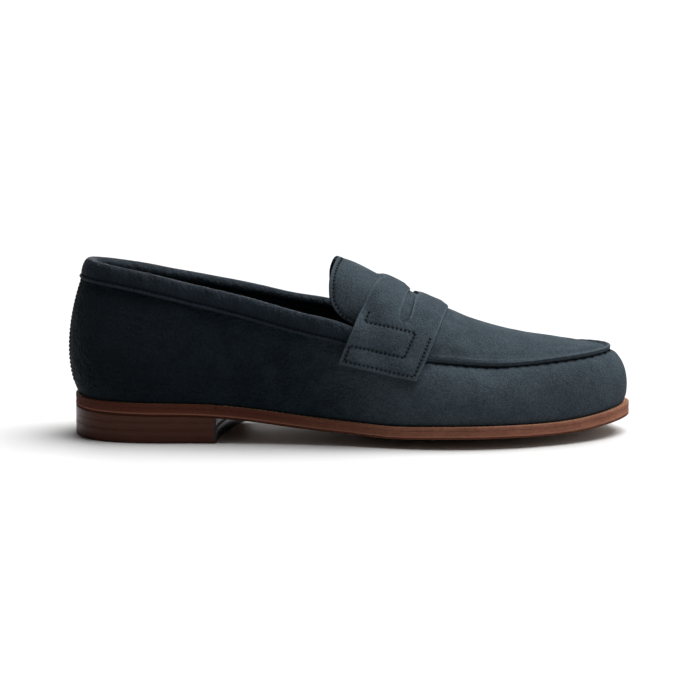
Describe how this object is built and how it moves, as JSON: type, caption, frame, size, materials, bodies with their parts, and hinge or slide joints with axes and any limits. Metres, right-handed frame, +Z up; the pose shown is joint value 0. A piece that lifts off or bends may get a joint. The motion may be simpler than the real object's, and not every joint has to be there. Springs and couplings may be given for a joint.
{
  "type": "penny loafer",
  "caption": "Slip-on leather shoe, right foot: stitched apron front, saddle strap with a coin slot, lifting tongue, padded collar band, welted leather sole and stacked heel.",
  "frame": {"origin": "on the floor, under the middle of the shoe's overall box", "axes": "+X towards the toe, +Y towards the inner side of the foot, +Z up"},
  "size_m": [0.2999, 0.103, 0.0945],
  "materials": {
    "nubuck": "matt dark navy-grey nubuck, faint grain",
    "lining_leather": "smooth dark lining leather",
    "sole_leather": "red-brown stained and waxed sole leather",
    "insole_leather": "natural tan, unfinished",
    "stiffener": "stiffened canvas, hidden",
    "cork": "ground cork, hidden",
    "spring_steel": "bare spring steel, hidden",
    "brass": "plain brass nail"
  },
  "bodies": {
    "shoe": {"apron": "nubuck", "apron_lining": "lining_leather", "collar_band": "nubuck", "cork_filler": "cork", "heel_counter": "stiffener", "heel_grip": "lining_leather", "heel_lift_lower": "sole_leather", "heel_lift_upper": "sole_leather", "heel_pin_1": "brass", "heel_pin_2": "brass", "heel_pin_3": "brass", "heel_pin_4": "brass", "heel_pin_5": "brass", "heel_pin_6": "brass", "heel_pin_7": "brass", "heel_rand": "sole_leather", "insole": "insole_leather", "outsole": "sole_leather", "quarter_lining": "lining_leather", "saddle_strap": "nubuck", "shank": "spring_steel", "sock_liner": "lining_leather", "toe_puff": "stiffener", "top_piece": "sole_leather", "vamp_lining": "lining_leather", "vamp_wrap": "nubuck", "welt": "sole_leather"},
    "tongue_flap": {"tongue": "nubuck", "tongue_lining": "lining_leather"}
  },
  "joints": [
    {"name": "tongue_lift", "type": "hinge", "parent": "shoe", "child": "tongue_flap", "pos_m": [0.0175, 0, 0.085], "axis": [0, 1, 0], "range_deg": [0, 20], "stiffness_Nm_per_rad": 0.06}
  ]
}
